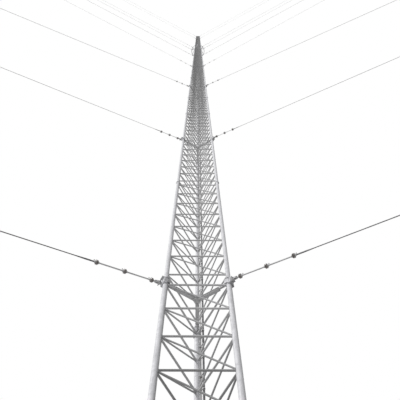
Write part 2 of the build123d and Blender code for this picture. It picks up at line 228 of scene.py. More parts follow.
class Surface(Finish):
    """A material whose patterns read the piece's own coordinates."""

    def __init__(self, name, roughness=0.5, metallic=0.0, coat=0.0):
        self.material = bpy.data.materials.new(name)
        self.material.use_nodes = True
        super().__init__(self.material.node_tree)
        self.shader = self.tree.nodes["Principled BSDF"]
        self.place = self.node("ShaderNodeTexCoord", output="Object")
        self.wear(Roughness=roughness, Metallic=metallic, Coat_Weight=coat)

    def wear(self, **sockets):
        """Sets or feeds the shader's own sockets."""
        for name, value in sockets.items():
            self.feed(self.shader.inputs[name.replace("_", " ")], value)

    def along(self, axis, place=None):
        """One coordinate of a place: 0 for X, 1 for Y and 2 for Z."""
        return self.node("ShaderNodeSeparateXYZ", {}, {0: place or self.place}, output=axis)

    def cells(self, scale):
        return self.node("ShaderNodeTexVoronoi", {}, {"Vector": self.place, "Scale": scale})

    def stretched(self, x, y, z):
        return self.node("ShaderNodeMapping", {}, {"Vector": self.place, "Scale": (x, y, z)})

    def noise(self, scale, detail, place=None):
        return self.node("ShaderNodeTexNoise", {}, {"Vector": place or self.place, "Scale": scale,
                                                    "Detail": detail, "Roughness": 0.55})

    def band(self, value, low, high):
        """A value spread so that low becomes 0 and high becomes 1, and clipped there."""
        return self.node("ShaderNodeMapRange", {"clamp": True},
                         {"Value": value, "From Min": low, "From Max": high})

    def blend(self, mask, first, second):
        return self.node("ShaderNodeMix", {"data_type": "RGBA"},
                         {"Factor": mask, 6: first, 7: second}, output=2)

    def bump(self, height, strength, distance):
        return self.node("ShaderNodeBump", {}, {"Height": height, "Strength": strength,
                                                "Distance": distance})


def galvanised(name, light, dark, stain_and_shade, roughness, metallic, painted_shade_heights=(), painted_shade_side=0):
    """Weathered zinc: cloudy grey with soft spangle, rain streaks and a few dark specks.

    Each given height range paints shade on the zinc, darker from its first height to its second.
    A nonzero share for the shaded side paints shade on the right side of each front leg and of its
    collars, as on the side away from the light, with a darker strip of painted shade near the edge.
    """
    zinc = Surface(name, roughness=roughness, metallic=metallic)
    clouds = zinc.band(zinc.noise(90, 5), 0.36, 0.66)
    spangle = zinc.cells(520.0)
    rain = zinc.band(zinc.noise(260, 3, zinc.stretched(1, 1, 0.06)), 0.50, 0.72)
    specks = zinc.band(zinc.noise(900, 2), 0.66, 0.74)
    tone = zinc.blend(clouds * 0.75 + spangle * 0.25, dark, light)
    tone = zinc.blend(rain * 0.35, tone, stain_and_shade)
    tone = zinc.blend(specks * 0.5, tone, stain_and_shade)
    # painted shade: the zinc darker over each given band of height
    for start, end, strength in painted_shade_heights:
        tone = zinc.blend(zinc.band(zinc.along(2), start, end) * strength, tone, stain_and_shade)
    # painted shade: the right side of each front leg and collar darker, as on the side away from
    # the light, with a darker painted strip near its edge
    if painted_shade_side:
        across = zinc.math("WRAP", zinc.along(0), face_width / 4, -face_width / 4)
        front = zinc.band(zinc.along(1), 0.04, 0.0)
        for start, end, shade in ((0.001, 0.0055, stain_and_shade), (0.0042, 0.0060, (0.17, 0.17, 0.17))):
            tone = zinc.blend(zinc.band(across, start, end) * front * painted_shade_side, tone, shade)
    grain = zinc.noise(1400, 3)
    zinc.wear(Base_Color=tone, Roughness=roughness - 0.1 + 0.2 * clouds,
              Normal=zinc.bump(grain * 0.6 + clouds * 0.4, 0.25, 0.0006))
    return zinc.material


# heights over which painted shade darkens all bars, and by how much
painted_shade_aloft = ((3.2, 4.4, 0.5), (17.0, 22.0, 0.4))
# painted shade on the right side of each front leg
leg_zinc = galvanised("weathered_leg_zinc_painted_shade_side", (0.66, 0.66, 0.68), (0.50, 0.50, 0.52),
                      (0.33, 0.33, 0.34), 0.52, 0.15, painted_shade_side=0.7)
# painted shade on the sloping bars, darker below 1.3 m and aloft
bar_zinc = galvanised("bar_zinc_painted_shade_heights", (0.43, 0.43, 0.435), (0.31, 0.31, 0.315), (0.11, 0.11, 0.11),
                      0.62, 0.1, painted_shade_heights=((1.32, 1.08, 0.5), *painted_shade_aloft))
# painted light: the level bars get a paler copy of the sloping bars' zinc, with painted shade
# darker below 1.3 m and aloft
level_bar_zinc = galvanised("level_bar_zinc_painted_light_and_shade", (0.55, 0.55, 0.555), (0.43, 0.43, 0.435),
                            (0.16, 0.16, 0.16), 0.62, 0.1,
                            painted_shade_heights=((1.28, 1.08, 0.75), *painted_shade_aloft))
plate_zinc = galvanised("dull_plate_zinc", (0.54, 0.54, 0.545), (0.43, 0.43, 0.435),
                        (0.24, 0.24, 0.24), 0.58, 0.1)
arm_zinc = galvanised("pale_arm_zinc", (0.56, 0.56, 0.565), (0.43, 0.43, 0.435),
                      (0.28, 0.28, 0.28), 0.56, 0.1)
# painted shade on the right side of each collar on the front legs
sleeve_zinc = galvanised("bright_sleeve_zinc_painted_shade_side", (0.56, 0.56, 0.58), (0.42, 0.42, 0.44),
                         (0.26, 0.26, 0.27), 0.5, 0.15, painted_shade_side=0.6)
bolt_zinc = galvanised("bolt_zinc", (0.46, 0.46, 0.47), (0.30, 0.30, 0.31),
                       (0.16, 0.15, 0.14), 0.45, 0.3)
conduit_paint = galvanised("dark_conduit_zinc", (0.15, 0.15, 0.155), (0.10, 0.10, 0.105),
                           (0.06, 0.06, 0.06), 0.6, 0.05)


def strand_finish():
    """Laid wire rope: slanting wires from the rope's own coordinates, with painted shade between
    them.
    """
    strand = Surface("wire_strand", roughness=0.5, metallic=0.3)
    wires, lays_per_metre = 7, 90
    unrolled = strand.node("ShaderNodeUVMap")
    lay = strand.along(0, unrolled) * wires + strand.along(1, unrolled) * lays_per_metre
    ridges = (lay * (2 * pi)).wave()
    # painted shade: darker in the grooves between the wires
    tone = strand.blend(ridges, (0.07, 0.07, 0.07), (0.20, 0.20, 0.205))
    dust = strand.band(strand.noise(60, 4), 0.45, 0.7)
    strand.wear(Base_Color=strand.blend(dust * 0.4, tone, (0.24, 0.235, 0.23)),
                Normal=strand.bump(ridges, 0.5, 0.0004))
    return strand.material


def porcelain_finish(name, light, dark):
    """Glazed electrical porcelain, a little uneven, with dust on it."""
    glaze = Surface(name, roughness=0.22, coat=0.6)
    clouds = glaze.band(glaze.noise(120, 3), 0.35, 0.7)
    dust = glaze.band(glaze.noise(420, 5), 0.48, 0.68)
    tone = glaze.blend(clouds, dark, light)
    glaze.wear(Base_Color=glaze.blend(dust * 0.35, tone, (0.30, 0.29, 0.28)),
               Roughness=0.2 + 0.35 * dust, Normal=glaze.bump(clouds, 0.15, 0.0006))
    return glaze.material


def concrete_finish():
    """Cast concrete with cloudy damp patches, sand grain and small blow holes, with painted shade
    in the holes.
    """
    cast = Surface("cast_concrete", roughness=0.88)
    clouds = cast.band(cast.noise(14, 6), 0.35, 0.68)
    sand = cast.noise(900, 4)
    pits = 1 - cast.band(cast.cells(260.0), 0.08, 0.2)
    tone = cast.blend(clouds, (0.36, 0.35, 0.33), (0.55, 0.54, 0.51))
    tone = cast.blend(sand * 0.4, tone, (0.62, 0.60, 0.56))
    # painted shade: the blow holes darkened
    cast.wear(Base_Color=cast.blend(pits * 0.6, tone, (0.20, 0.19, 0.18)),
              Normal=cast.bump(sand * 0.5 - pits * 0.7, 0.5, 0.0012))
    return cast.material


def lens_finish():
    """Red ribbed beacon glass."""
    lens = Surface("red_lens_glass", roughness=0.12, coat=0.8)
    ribs = (lens.along(2) * 2600).wave()
    lens.wear(Base_Color=lens.blend(ribs, (0.30, 0.012, 0.01), (0.55, 0.03, 0.02)),
              Normal=lens.bump(ribs, 0.4, 0.0005))
    return lens.material


wire_strand = strand_finish()
brown_porcelain = porcelain_finish("brown_porcelain", (0.20, 0.18, 0.17), (0.13, 0.115, 0.11))
pale_porcelain = porcelain_finish("grey_porcelain", (0.42, 0.41, 0.39), (0.33, 0.32, 0.30))
cast_concrete = concrete_finish()
red_lens = lens_finish()
fitting = "galvanised_fitting"  # slot of every small steel part


# ---- shapes ----------------------------------------------------------------
def turned(outline, steps=24):
    """A shape turned about the Z axis from a chain of (radius, height) points."""
    shape = bmesh.new()
    points = [shape.verts.new((radius, 0, height)) for radius, height in outline]
    chain = [shape.edges.new(pair) for pair in zip(points, points[1:])]
    bmesh.ops.spin(shape, geom=points + chain, cent=(0, 0, 0), dvec=(0, 0, 0), axis=(0, 0, 1),
                   angle=2 * pi, steps=steps, use_merge=True)
    bmesh.ops.remove_doubles(shape, verts=shape.verts, dist=1e-6)
    bmesh.ops.recalc_face_normals(shape, faces=shape.faces)
    return shape


def upright_prism(sides, radius, height):
    """A prism that stands on the XY plane, by the radius of its corners."""
    shape = bmesh.new()
    bmesh.ops.create_cone(shape, cap_ends=True, segments=sides, radius1=radius, radius2=radius,
                          depth=height)
    bmesh.ops.translate(shape, verts=shape.verts, vec=(0, 0, height / 2))
    return shape


def rod(radius, length, steps):
    """A plain round rod up the Z axis."""
    return turned([(0, 0), (radius, 0), (radius, length), (0, length)], steps)


def chamfered_pin(width, length):
    """A round pin along the Z axis, centred on the XY plane."""
    radius, half, edge = width / 2, length / 2, 0.0003
    return turned([(0, -half), (radius - edge, -half), (radius, edge - half), (radius, half - edge),
                   (radius - edge, half), (0, half)], 12)


def band_round(radius, swell, half, edge, steps):
    """A band that grips a pipe of a radius, centred on the XY plane."""
    inner, outer = radius - 0.0001, radius + swell
    return turned([(inner, -half), (outer, edge - half), (outer, half - edge), (inner, half)],
                  steps)


def half_round(radius, middle=0.0, side=1):
    """Points round the X side of a circle, from the Y side given to the other."""
    return [(middle + radius * sin(radians(angle)), side * radius * cos(radians(angle)))
            for angle in range(0, 181, 20)]


def raised(shape, thick):
    """Gives a flat shape a thickness up the Z axis."""
    grown = bmesh.ops.extrude_face_region(shape, geom=shape.faces[:])["geom"]
    top = [item for item in grown if isinstance(item, bmesh.types.BMVert)]
    bmesh.ops.translate(shape, verts=top, vec=(0, 0, thick))
    bmesh.ops.recalc_face_normals(shape, faces=shape.faces)
    return shape


def plate(corners, thick):
    """A flat plate in the XY plane, centred on it, from its corners in order."""
    shape = bmesh.new()
    shape.faces.new([shape.verts.new((x, y, -thick / 2)) for x, y in corners])
    return raised(shape, thick)


def block(low, high):
    """A square-cornered block between two corners."""
    low, high = Vector(low), Vector(high)
    shape = bmesh.new()
    bmesh.ops.create_cube(shape, size=1)
    bmesh.ops.scale(shape, verts=shape.verts, vec=high - low)
    bmesh.ops.translate(shape, verts=shape.verts, vec=(low + high) / 2)
    return shape


def softened(shape, width, segments=2):
    """Bevels every sharp edge of a shape."""
    sharp = [edge for edge in shape.edges if edge.is_manifold and edge.calc_face_angle(0) > 0.5]
    bmesh.ops.bevel(shape, geom=sharp, offset=width, segments=segments, affect="EDGES",
                    profile=0.5, material=-1)
    return shape


def soft_block(low, high, width, segments=2):
    return softened(block(low, high), width, segments)


def hexagon_head(across, thick):
    """A nut or bolt head standing on the XY plane."""
    return upright_prism(6, across / sqrt(3), thick)


def put(piece, shape, *places):
    """Copies a shape into a piece at each place."""
    pattern = bpy.data.meshes.new("pattern")
    shape.to_mesh(pattern)
    for place in places:
        count = len(piece.verts)
        piece.from_mesh(pattern)
        piece.verts.ensure_lookup_table()
        bmesh.ops.transform(piece, matrix=place, verts=piece.verts[count:])
    bpy.data.meshes.remove(pattern)


def at(x, y, z):
    return Matrix.Translation((x, y, z))


def turn(degrees, axis="Z"):
    return Matrix.Rotation(radians(degrees), 4, axis)


def leg_place(angle, z=0.0):
    """A leg's centre, with X pointing out from the mast."""
    return turn(angle) @ at(leg_radius, 0, z)


def both_sides(piece, shape, place, reach, axis):
    """Puts a shape on two opposite faces, standing out along X, Y or Z."""
    for side in (-1, 1):
        offset = [side * reach * (name == axis) for name in "XYZ"]
        out = {"X": (90 * side, "Y"), "Y": (-90 * side, "X"), "Z": (90 - 90 * side, "X")}[axis]
        put(piece, shape, place @ at(*offset) @ turn(*out))


def face_place(name):
    """A flat side's first leg, with X towards its second leg and Y into the mast."""
    return turn(face_turns[name]) @ at(-face_width / 2, -leg_radius / 2, 0)


def between(start, end, across):
    """The place of a shape drawn up Z, laid from start to end with its Y axis towards across."""
    up = (end - start).normalized()
    side = across.cross(up).normalized()
    return Matrix.Translation(start) @ Matrix((side, up.cross(side), up)).transposed().to_4x4()


def show(name, shape, finish, slot_name, *nodes, sharp=38):
    """Makes a finished piece of a shape, riding on the mast in place of its CAD nodes."""
    mesh = bpy.data.meshes.new(name)
    shape.to_mesh(mesh)
    shape.free()
    mesh.materials.append(finish)
    for polygon in mesh.polygons:
        polygon.use_smooth = True
    mesh.set_sharp_from_angle(angle=radians(sharp))
    made = bpy.data.objects.new(name, mesh)
    bpy.context.scene.collection.objects.link(made)
    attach(made, "root")
    if nodes:
        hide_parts(*nodes)


# ---- legs and bracing ------------------------------------------------------
def leg_outline(first, last, leg):
    """The outline of a leg tube between two joints, with a pair of welded flanges at each."""
    tube, flange = leg / 2, flange_ratio * leg / 2
    weld, edge, seam = 0.0007, 0.00025, 0.00012
    points = [(0, joint_height(first)), (flange - edge, joint_height(first))]
    for joint in range(first, last + 1):
        z = joint_height(joint)
        under, over = z - flange_thick, z + flange_thick
        if joint > first:
            points += [(tube, under - weld), (tube + weld, under), (flange - edge, under),
                       (flange, under + edge), (flange, z - seam)]
        if first < joint < last:
            points += [(flange - 3 * seam, z)]
        if joint < last:
            points += [(flange, z + seam), (flange, over - edge), (flange - edge, over),
                       (tube + weld, over), (tube, over + weld)]
    return points + [(0, joint_height(last))]


def flange_bolts(first, last, leg):
    """Six bolts and nuts through the flanges of every joint above the first."""
    bolts = bmesh.new()
    ring = (flange_ratio + 1) * leg / 4 + 0.0001
    head = hexagon_head(*flange_bolt)
    for joint in range(first + 1, last + 1):
        for angle in leg_angles:
            for step in range(6):
                hole = leg_place(angle, joint_height(joint)) @ turn(60 * step + 30) @ at(ring, 0, 0)
                both_sides(bolts, head, hole, flange_thick, "Z")
    return bolts


def welded_bar(length, width):
    """A round bar up the Z axis with a weld bead round each end."""
    bar, bead = width / 2, width / 2 + 0.00055
    foot, rise = 0.0003, 0.0013
    return turned([(0, 0), (bead, 0), (bead, foot), (bar, rise), (bar, length - rise),
                   (bead, length - foot), (bead, length), (0, length)], 10)


def build_stage(stage):
    """The legs, flange bolts and three braced sides of a stage."""
    leg, horizontal, diagonal = stages[stage]
    first, last = stage_joints(stage)
    legs = bmesh.new()
    put(legs, turned(leg_outline(first, last, leg)), *[leg_place(angle) for angle in leg_angles])
    show(f"{stage}_leg_tubes", legs, leg_zinc, "galvanised_leg", f"{stage}_legs")
    show(f"{stage}_flange_bolts", flange_bolts(first, last, leg), bolt_zinc, fitting)
    reach = leg / 2 - 0.0002        # of a bar's end from the leg's centre
    # from a level bar along the leg to a sloping bar's end
    inset = max(leg / 2 * bay / face_width, (horizontal + 1.3 * diagonal) / 2 + 0.0003)
    high, low = Vector((reach, 0, bay - inset)), Vector((face_width - reach, 0, inset))
    sloping = welded_bar((low - high).length, diagonal)
    level = welded_bar(face_width - 2 * reach, horizontal)
    for face in face_turns:
        level_bars, sloping_bars = bmesh.new(), bmesh.new()
        for section in range(first, last):
            for step in range(bays_per_section + 1):
                z = joint_height(section) + joint_gap / 2 + step * bay
                side = face_place(face) @ at(0, 0, z)
                put(level_bars, level, side @ at(reach, 0, 0) @ turn(90, "Y"))
                if step < bays_per_section:
                    put(sloping_bars, sloping, side @ between(high, low, inward))
        node = f"{stage}_{face}_bracing"
        show(f"{stage}_{face}_level_bars", level_bars, level_bar_zinc, "galvanised_bar", node)
        show(f"{stage}_{face}_sloping_bars", sloping_bars, bar_zinc, "galvanised_bar", node)


for stage in stages:
    build_stage(stage)


# ---- guy levels ------------------------------------------------------------
def lug_outline(low, high):
    """A lug's outline from its root to the round end about its pin."""
    return [(low, -lug_round), *half_round(lug_round, high, -1), (low, lug_round)]


def leg_block(half, bore, low, high):
    """A square block with a bore for the leg, between two heights."""
    shape = bmesh.new()
    bmesh.ops.create_circle(shape, segments=24, radius=bore)
    grown = bmesh.ops.extrude_edge_only(shape, edges=shape.edges[:])["geom"]
    for vert in [item for item in grown if isinstance(item, bmesh.types.BMVert)]:
        vert.co *= half / max(abs(vert.co.x), abs(vert.co.y))
    bmesh.ops.translate(shape, verts=shape.verts, vec=(0, 0, low))
    return softened(raised(shape, high - low), 0.0005)


sleeves, plates, level_bolts = bmesh.new(), bmesh.new(), bmesh.new()
for joint, ring, half_angle in guy_levels.values():
    leg = leg_width_at(joint)
    half, bore = collar_ratio * leg, leg / 2
    top = joint_height(joint) - collar_drop
    bottom = top - collar_height
    sleeve = leg_block(half, bore, bottom, top)
    skirt_corners = [(0, -half), (half, -half), (half, half), (0, half), *half_round(bore)]
    skirt = softened(plate(skirt_corners, skirt_height), 0.0004, 1)
    ear_root, ear_edge = half - 0.001, half - 0.0002
    ear = softened(plate([(ear_root, ear_side), (ear_reach, ear_side), (ear_reach, ear_edge),
                          (ear_root, ear_edge)], ear_plate), 0.0003, 1)
    lug = softened(plate(lug_outline(0.45 * leg, lug_reach), lug_thick), 0.0003, 1)
    for angle in leg_angles:
        put(sleeves, sleeve, leg_place(angle))
        put(sleeves, skirt, leg_place(angle, bottom - skirt_height / 2))
        put(plates, ear, leg_place(angle, top - ear_plate / 2))
        for z in (bottom + 0.004, top - 0.004):
            middle = leg_place(angle, z) @ at(half / 2, 0, 0)
            both_sides(level_bolts, hexagon_head(*sleeve_bolt), middle, half, "Y")
        if not half_angle:
            own = leg_place(angle, joint_height(joint) - pin_drop) @ turn(anchor_rings[ring][1])
            put(plates, lug, own @ at(0, lug_side, 0) @ turn(90, "X"))
show("guy_sleeves", sleeves, sleeve_zinc, fitting, "guy_collars")
show("guy_plates", plates, plate_zinc, fitting, "guy_collars")


def rolled_beam(length):
    """A rolled I-section along X, with its flanges level."""
    web, flange = 0.0011, 0.0013
    y, z = arm_width / 2, arm_depth / 2
    quarter = [(y, z), (y, z - flange), (web, z - flange)]
    outline = quarter + [(y, -z) for y, z in reversed(quarter)]
    outline += [(-y, -z) for y, z in quarter] + [(-y, z) for y, z in reversed(quarter)]
    shape = plate(outline, length)
    along_x = at(length / 2, 0, 0) @ turn(90, "Z") @ turn(90, "X")
    bmesh.ops.transform(shape, matrix=along_x, verts=shape.verts)
    return shape


arms, hubs = bmesh.new(), bmesh.new()
half_depth, half_neck = arm_depth / 2, arm_neck_width / 2
hub_corners = [tuple(around(hub_radius, angle).xy) for angle in leg_angles]
hub = softened(plate(hub_corners, hub_plate), 0.0004, 1)
for joint, _, _ in guy_levels.values():
    middle = star_height(joint)
    reach = leg_radius - collar_ratio * leg_width_at(joint)
    beam_end = reach - arm_neck
    neck = soft_block((beam_end, arm_neck_side - half_neck, -half_depth),
                      (reach, arm_neck_side + half_neck, half_depth), 0.0004)
    end_plate = soft_block((beam_end - 0.0012, -arm_width / 2, -half_depth),
                           (beam_end, arm_width / 2, half_depth), 0.0002, 1)
    beam = rolled_beam(beam_end)
    for angle in leg_angles:
        place = turn(angle) @ at(0, 0, middle)
        for shape in (beam, neck, end_plate):
            put(arms, shape, place)
        for x in (beam_end + 0.004, beam_end + 0.010):
            both_sides(level_bolts, hexagon_head(*neck_bolt), place @ at(x, arm_neck_side, 0),
                       half_neck, "Y")
        for x in (0.0055, 0.0095):
            both_sides(level_bolts, hexagon_head(*hub_bolt), place @ at(x, 0, 0),
                       half_depth + hub_plate, "Z")
    for side in (-1, 1):
        put(hubs, hub, at(0, 0, middle + side * (half_depth + hub_plate / 2)))
show("star_arms", arms, arm_zinc, fitting, "star_frames")
show("star_hub_plates", hubs, arm_zinc, fitting, "star_frames")
show("guy_level_bolts", level_bolts, bolt_zinc, fitting)


# ---- torque frame ----------------------------------------------------------
torque_joint, _, torque_half_angle = guy_levels[6]
torque = bmesh.new()
torque_z = star_height(torque_joint)
inner_reach = collar_ratio * leg_width_at(torque_joint) - 0.0003


def torque_bar(start, end, ratio=1):
    """A tube of the torque frame, as a ratio of its ring's tube."""
    tube = rod(ratio * torque_tube / 2, (end - start).length, 14)
    put(torque, tube, between(start, end, upward))


torque_step = 360 / torque_sides
for step in range(torque_sides):
    corners = [torque_first_corner + torque_step * count for count in (step, step + 1)]
    torque_bar(*(around(torque_radius, corner, torque_z) for corner in corners))
torque_lug = plate(lug_outline(torque_radius, torque_radius + torque_lug_reach), lug_thick)
for angle in leg_angles:
    leg_centre = around(leg_radius, angle, torque_z)
    outriggers = [angle + torque_turn + side * torque_half_angle for side in (-1, 1)]
    struts = [angle + side * torque_strut_turn for side in (-1, 1)]
    for bearing in outriggers + struts:
        end = around(torque_radius, bearing, torque_z)
        start = leg_centre + (end - leg_centre).normalized() * inner_reach
        torque_bar(start, end, torque_strut_ratio if bearing in struts else 1)
    for bearing in outriggers:
        put(torque, torque_lug, turn(bearing) @ at(0, 0, torque_z) @ turn(90, "X"))
show("torque_ring", torque, leg_zinc, fitting, "torque_frame")


# ---- guys ------------------------------------------------------------------
def ring_pins(ring):
    """The level and side of each guy that comes down to an anchor ring, from the lowest up."""
    return [(level, side) for level, (_, name, half_angle) in guy_levels.items() if name == ring
            for side in ((-1, 1) if half_angle else (0,))]


def anchor_frame(ring):
    """The cosine and sine of an anchor plate's slope, and the height of its middle pin."""
    heights = [star_height(guy_levels[level][0]) for level, _ in ring_pins(ring)]
    mean = Vector((anchor_rings[ring][0], sum(heights) / len(heights))).normalized()
    reach = (len(heights) - 1) / 2 * anchor_spacing
    return mean.x, mean.y, anchor_rings[ring][3] + anchor_clearance + reach * mean.x


def guy_lines(level):
    """The top pin and the anchor pin of each guy at a level."""
    joint, ring, half_angle = guy_levels[level]
    radius, ring_turn, _, _ = anchor_rings[ring]
    slope_cos, slope_sin, middle_height = anchor_frame(ring)
    pins = ring_pins(ring)
    lines = []
    for angle in leg_angles:
        for side in ((-1, 1) if half_angle else (0,)):
            step = (pins.index((level, side)) - (len(pins) - 1) / 2) * anchor_spacing
            out = angle + ring_turn
            end = around(radius + step * slope_sin, out, middle_height + step * slope_cos)
            if half_angle:
                bearing = angle + torque_turn + side * half_angle
                start = around(torque_radius + torque_lug_reach, bearing, star_height(joint))
            else:
                start = around(leg_radius, angle, joint_height(joint) - pin_drop)
                start += around(lug_reach, out) + around(lug_side, out + 90)
            lines.append((start, end))
    return lines


def guy_place(start, end, distance):
    """A place down a guy, with Z along it and Y upwards."""
    run = (end - start).normalized()
    level_axis = upward.cross(run).normalized()
    place = Matrix((level_axis, run.cross(level_axis), run)).transposed().to_4x4()
    return Matrix.Translation(start + run * distance) @ place


def laid_rope(length, width):
    """A rope up the Z axis, with coordinates round and along it for its wires."""
    shape = upright_prism(8, width / 2, length)
    lay = shape.loops.layers.uv.new("UVMap")
    for face in shape.faces:
        middle = face.calc_center_median()
        bearing = middle.xy.angle_signed(Vector((1, 0)), 0) if middle.xy.length > 1e-6 else 0
        for loop in face.loops:
            own = loop.vert.co.xy.angle_signed(Vector((1, 0)), 0) - bearing
            own = (own + pi) % (2 * pi) - pi
            loop[lay].uv = ((bearing + own) / (2 * pi), loop.vert.co.z)
    return shape


def rope_grip(ropes, place, width, direction):
    """A wrapped grip that tapers on to the rope from one of its ends."""
    swell = width / 2 + 0.0006
    grip = turned([(0, 0), (swell * 0.8, 0), (swell, 0.002), (swell, grip_length / 2),
                   (width / 2, grip_length), (0, grip_length)], 10)
    put(ropes, grip, place @ turn(90 - 90 * direction, "X"))


porcelain = turned([(0, -0.0044), (0.0031, -0.0044), (0.0036, -0.0034), (0.0050, -0.0030),
                    (0.0060, -0.0018), (0.0057, -0.0008), (0.0044, -0.0002), (0.0044, 0.0004),
                    (0.0057, 0.0009), (0.0060, 0.0019), (0.0050, 0.0031), (0.0036, 0.0035),
                    (0.0031, 0.0044), (0, 0.0044)], 18)
end_cap = turned([(0, -0.0060), (0.0021, -0.0060), (0.0030, -0.0054), (0.0034, -0.0040),
                  (0.0028, -0.0030), (0, -0.0030)], 14)
horn = turned([(0, 0), (0.0006, 0), (0.0006, 0.0050), (0.0014, 0.0056), (0.0014, 0.0066),
               (0.0006, 0.0072), (0, 0.0072)], 8)
cheek_outline = [(-yoke_back, -0.0030), (-yoke_back, 0.0030), (-0.0016, 0.0045), (0.002, 0.0045),
                 (yoke_front, 0.0026), (yoke_front, -0.0026), (0.002, -0.0045), (-0.0016, -0.0045)]
cheek = softened(plate(cheek_outline, yoke_plate), 0.0002, 1)
yoke_heel = soft_block((-0.003, -0.0026, yoke_front - yoke_block), (0.003, 0.0026, yoke_front),
                       0.0003)
yoke_pin = chamfered_pin(pin_diameter, pin_length)
eye_rod = rod(0.0019, 0.012, 12)
side_bar = soft_block((-0.0008, -0.0014, 0.010), (0.0008, 0.0014, 0.042), 0.0003)
boss = turned([(0, -0.003), (0.0032, -0.003), (0.0035, -0.0026), (0.0035, 0.0026),
               (0.0032, 0.003), (0, 0.003)], 14)
jaw = soft_block((-jaw_plate / 2, -0.0045, jaw_low), (jaw_plate / 2, 0.0045, jaw_high), 0.0004)
jaw_heel = soft_block((-0.006, -0.0045, jaw_low), (0.006, 0.0045, jaw_low + 0.006), 0.0006)
jaw_pin = chamfered_pin(jaw_pin_diameter, pin_length)

yokes, pins, caps, links, buckles, buckle_pins = (bmesh.new() for _ in range(6))
lower_bodies, upper_bodies = bmesh.new(), bmesh.new()


def add_yoke(top):
    """The yoke that holds a guy to its lug."""
    gap = (lug_thick + yoke_plate) / 2
    for side in (-1, 1):
        put(yokes, cheek, top @ at(side * gap, 0, 0) @ turn(-90, "Y"))
    put(yokes, yoke_heel, top)
    put(pins, yoke_pin, top @ turn(90, "Y"))
    both_sides(pins, hexagon_head(*pin_nut), top, gap + yoke_plate / 2, "X")


def add_turnbuckle(low, bottom):
    """The turnbuckle between a rope's end and its pin on the anchor plate."""
    put(buckles, eye_rod, low, low @ at(0, 0, 0.030))
    for side in (-1, 1):
        put(buckles, side_bar, low @ at(side * 0.0027, 0, 0))
        put(buckles, jaw, low @ at(side * (anchor_plate_thick + jaw_plate) / 2, 0, 0))
    put(buckles, boss, low @ at(0, 0, 0.011), low @ at(0, 0, 0.041))
    put(buckles, jaw_heel, low)
    put(buckle_pins, jaw_pin, bottom @ turn(90, "Y"))
    both_sides(buckle_pins, hexagon_head(*jaw_nut), bottom, 0.006, "X")


for level, (diameter, pitch) in guy_sizes.items():
    bodies = lower_bodies if level <= last_lower_level else upper_bodies
    ropes = bmesh.new()
    for start, end in guy_lines(level):
        add_yoke(guy_place(start, end, 0))
        edge = yoke_front
        for step in range(insulator_count):
            middle = first_insulator + step * pitch
            link = welded_bar(middle - insulator_length / 2 - edge, link_ratio * diameter)
            put(links, link, guy_place(start, end, edge))
            place = guy_place(start, end, middle)
            put(bodies, porcelain, place)
            put(caps, end_cap, place, place @ turn(180, "X"))
            put(caps, horn, place @ at(0, 0.0025, 0.0045) @ turn(-90, "X"))
            edge = middle + insulator_length / 2
        length = (end - start).length
        run_end = length - turnbuckle_length
        upper, lower = guy_place(start, end, edge), guy_place(start, end, run_end)
        put(ropes, laid_rope(run_end - edge, diameter), upper)
        rope_grip(ropes, upper, diameter, 1)
        rope_grip(ropes, lower, diameter, -1)
        add_turnbuckle(lower, guy_place(start, end, length))
    show(f"guy_ropes_level_{level}", ropes, wire_strand, "guy_strand", f"guys_level_{level}")
show("guy_link_rods", links, plate_zinc, fitting)
show("guy_yoke_cheeks", yokes, plate_zinc, fitting, "guy_yokes")
show("guy_yoke_pins", pins, bolt_zinc, fitting)
show("lower_insulator_bodies", lower_bodies, brown_porcelain, "porcelain", "guy_insulators_lower")
show("upper_insulator_bodies", upper_bodies, pale_porcelain, "porcelain", "guy_insulators_upper")
show("insulator_caps", caps, plate_zinc, fitting)
show("turnbuckle_bodies", buckles, plate_zinc, fitting, "turnbuckles")
show("turnbuckle_pins", buckle_pins, bolt_zinc, fitting)


# ---- ground anchors --------------------------------------------------------
blocks, anchor_shapes, anchor_bolts = bmesh.new(), bmesh.new(), bmesh.new()
base_thick, base_half = 0.003, 0.014
stud = turned([(0, 0), (0.0013, 0), (0.0013, 0.0052), (0.001, 0.0056), (0, 0.0056)], 8)
for ring, (radius, ring_turn, width, height) in anchor_rings.items():
    slope_cos, slope_sin, middle_height = anchor_frame(ring)
    towards_mast = Vector((-slope_cos, slope_sin)) * anchor_edge
    upper = Vector((slope_sin, slope_cos)) * (len(ring_pins(ring)) / 2 * anchor_spacing)
    middle = Vector((0, middle_height - height))
    corners = [Vector((-0.25 * width, 0)), Vector((0.3 * width, 0)), middle + upper - towards_mast,
               middle + upper + towards_mast, middle - upper + towards_mast]
    cast = soft_block((-width / 2, -0.4 * width, 0), (width / 2, 0.4 * width, height), 0.003)
    upright = softened(plate([tuple(corner) for corner in corners], anchor_plate_thick), 0.0008)
    base = soft_block((-0.36 * width, -base_half, 0), (0.40 * width, base_half, base_thick), 0.0005)
    for angle in leg_angles:
        place = turn(angle + ring_turn) @ at(radius, 0, 0)
        put(blocks, cast, place)
        put(anchor_shapes, upright, place @ at(0, 0, height) @ turn(90, "X"))
        put(anchor_shapes, base, place @ at(0, 0, height))
        for share in (-0.30, 0.02, 0.34):
            for side in (-1, 1):
                spot = place @ at(share * width, side * 0.0095, height + base_thick)
                put(anchor_bolts, hexagon_head(*anchor_nut), spot)
                put(anchor_bolts, stud, spot)
show("anchor_concrete", blocks, cast_concrete, "concrete", "anchor_blocks")
show("anchor_fins", anchor_shapes, plate_zinc, fitting, "anchor_plates")
show("anchor_foot_bolts", anchor_bolts, bolt_zinc, fitting)


# ---- foot of the mast ------------------------------------------------------
pier_half_width, pier_top = 0.085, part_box("foundation_pier")[1].z
foot_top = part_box("foot_plate")[1].z
foot_radius = 0.027             # of the tapered legs' feet about the mast's axis
foot_leg, foot_level_bar, foot_sloping_bar = stages["stage_1"]
rim = 0.0006                    # chamfer round the turned steel parts

